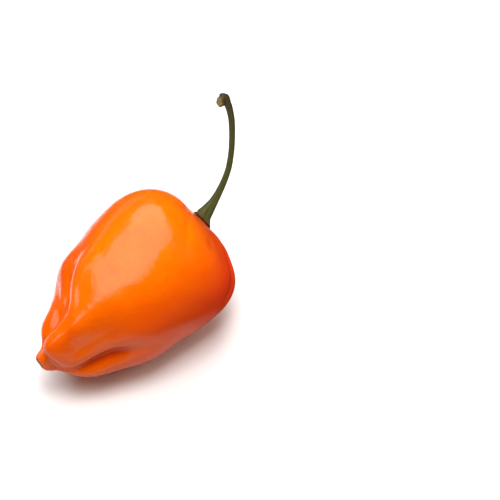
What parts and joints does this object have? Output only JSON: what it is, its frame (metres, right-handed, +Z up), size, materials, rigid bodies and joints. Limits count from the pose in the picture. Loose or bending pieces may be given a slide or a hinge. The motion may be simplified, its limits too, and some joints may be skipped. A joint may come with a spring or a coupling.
{
  "type": "chilli pepper",
  "caption": "Orange habanero chilli pepper with its green stem, lying on its side: a squat lobed fruit that narrows to a small pointed tip.",
  "frame": {"origin": "middle of the whole pepper's footprint, on the surface that it lies on", "axes": "+X from the blossom tip towards the stem, +Z up"},
  "size_m": [0.0796, 0.0396, 0.0447],
  "materials": {
    "skin": "smooth waxy orange pepper skin with a soft gloss",
    "stem": "satin green stem, ribbed, browner towards its dry cut end"
  },
  "bodies": {
    "root": {"pod": "skin", "stem": "stem"}
  },
  "joints": []
}
